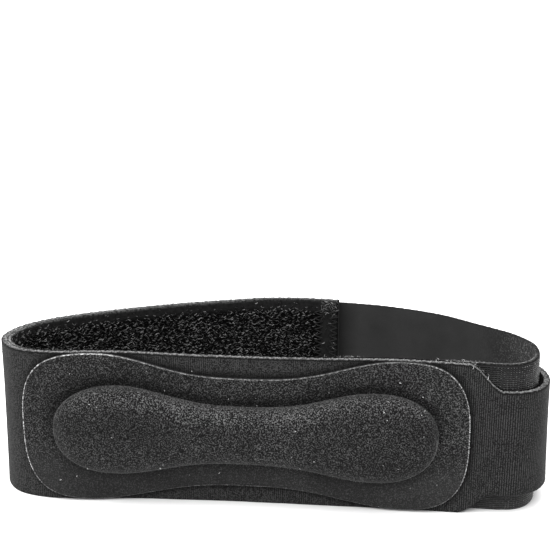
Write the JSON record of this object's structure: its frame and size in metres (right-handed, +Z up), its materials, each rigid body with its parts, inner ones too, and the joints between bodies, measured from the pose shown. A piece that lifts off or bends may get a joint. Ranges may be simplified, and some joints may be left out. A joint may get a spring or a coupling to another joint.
{
  "type": "patella strap",
  "caption": "Dark knee strap of stretch knit with a loop-pile lining, a dog-bone pad on a backing patch, a narrow tongue and a smooth hook tab, closed in a loop.",
  "frame": {"origin": "bottom centre of the strap's box, on the surface that its lower edge stands on", "axes": "+Z up across the band's width, +X along the loop from its left bend to its right bend, the pad faces -Y"},
  "size_m": [0.1772, 0.0808, 0.0509],
  "materials": {
    "ribbed_knit": "matte ribbed knit",
    "loop_pile": "matte looped pile",
    "smooth_fabric": "smooth fine weave",
    "hook_tape": "fine moulded hooks",
    "brushed_fabric": "brushed matte",
    "pad_fabric": "brushed, slightly fuzzy"
  },
  "bodies": {
    "root": {"knit_band": "ribbed_knit", "pile_lining": "loop_pile", "fastening_tab": "smooth_fabric", "hook_tape": "hook_tape", "pad_backing": "brushed_fabric", "bone_pad": "pad_fabric"}
  },
  "joints": []
}
